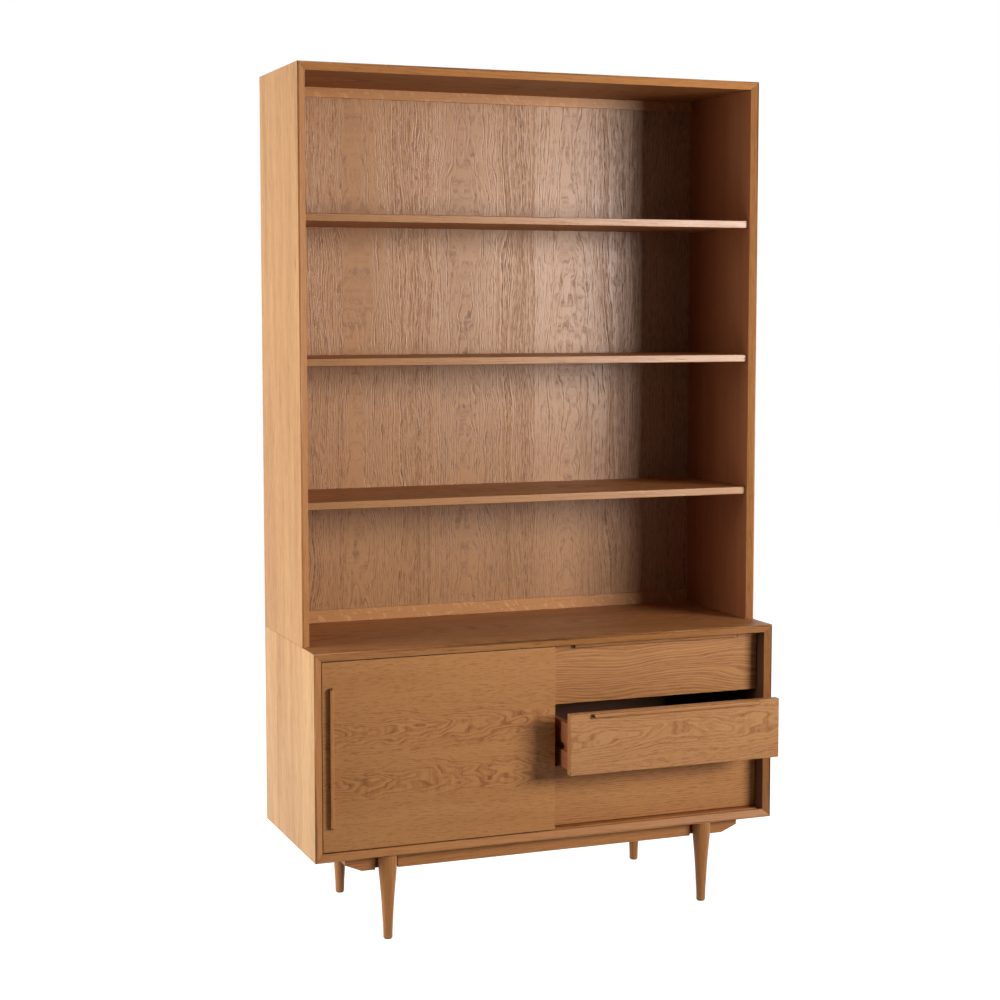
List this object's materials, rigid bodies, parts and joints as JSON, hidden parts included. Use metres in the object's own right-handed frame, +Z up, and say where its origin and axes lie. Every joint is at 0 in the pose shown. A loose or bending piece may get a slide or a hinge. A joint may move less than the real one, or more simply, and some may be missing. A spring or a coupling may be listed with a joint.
{
  "type": "bookcase with sliding door and drawers",
  "caption": "Tall oak bookcase: open shelves on a deeper lower case with a sliding door, drawers with slim bar pulls and turned tapered legs.",
  "frame": {"origin": "on the floor, in the middle of the box that the bookcase takes up with its middle drawer standing open as pictured", "axes": "+Z up, +X to the right as the bookcase is faced, +Y to the rear, so that the door, drawers and open shelves face -Y"},
  "size_m": [1.1, 0.4922, 1.89],
  "materials": {
    "oak_case": "satin",
    "oak_front": "satin",
    "oak_back": "satin",
    "oak_solid": "satin",
    "drawer_wood": "satin",
    "plywood": "matte",
    "beech": "matte",
    "nylon": "matte"
  },
  "bodies": {
    "root": {"lower_side_left": "oak_case", "lower_side_right": "oak_case", "lower_bottom": "oak_case", "lower_top": "oak_case", "divider": "oak_case", "upper_side_left": "oak_case", "upper_side_right": "oak_case", "upper_top": "oak_case", "shelf_low": "oak_case", "shelf_middle": "oak_case", "shelf_high": "oak_case", "lower_back_panel": "oak_back", "upper_back_panel": "oak_back", "back_rail_top": "oak_solid", "back_rail_bottom": "oak_solid", "stretcher_front": "oak_solid", "stretcher_rear": "oak_solid", "leg_front_left": "oak_solid", "leg_front_right": "oak_solid", "leg_rear_left": "oak_solid", "leg_rear_right": "oak_solid", "dowel_front_left": "beech", "dowel_front_right": "beech", "dowel_rear_left": "beech", "dowel_rear_right": "beech", "runner_bottom_left": "beech", "runner_bottom_right": "beech", "runner_middle_left": "beech", "runner_middle_right": "beech", "runner_top_left": "beech", "runner_top_right": "beech", "foot_glide_front_left": "nylon", "foot_glide_front_right": "nylon", "foot_glide_rear_left": "nylon", "foot_glide_rear_right": "nylon"},
    "door": {"door_panel": "oak_front", "door_pull": "oak_solid", "door_glide_left": "nylon", "door_glide_right": "nylon", "door_guide_left": "nylon", "door_guide_right": "nylon"},
    "drawer_top": {"drawer_top_front": "oak_front", "drawer_top_pull": "oak_solid", "drawer_top_side_left": "drawer_wood", "drawer_top_side_right": "drawer_wood", "drawer_top_back": "drawer_wood", "drawer_top_bottom": "plywood"},
    "drawer_middle": {"drawer_middle_front": "oak_front", "drawer_middle_pull": "oak_solid", "drawer_middle_side_left": "drawer_wood", "drawer_middle_side_right": "drawer_wood", "drawer_middle_back": "drawer_wood", "drawer_middle_bottom": "plywood"},
    "drawer_bottom": {"drawer_bottom_front": "oak_front", "drawer_bottom_pull": "oak_solid", "drawer_bottom_side_left": "drawer_wood", "drawer_bottom_side_right": "drawer_wood", "drawer_bottom_back": "drawer_wood", "drawer_bottom_bottom": "plywood"}
  },
  "joints": [
    {"name": "door_slide", "type": "slide", "parent": "root", "child": "door", "axis": [1, 0, 0], "range_m": [0, 0.012]},
    {"name": "drawer_top_slide", "type": "slide", "parent": "root", "child": "drawer_top", "axis": [0, -1, 0], "range_m": [0, 0.25]},
    {"name": "drawer_middle_slide", "type": "slide", "parent": "root", "child": "drawer_middle", "axis": [0, -1, 0], "range_m": [-0.11, 0.14]},
    {"name": "drawer_bottom_slide", "type": "slide", "parent": "root", "child": "drawer_bottom", "axis": [0, -1, 0], "range_m": [0, 0.25]}
  ]
}
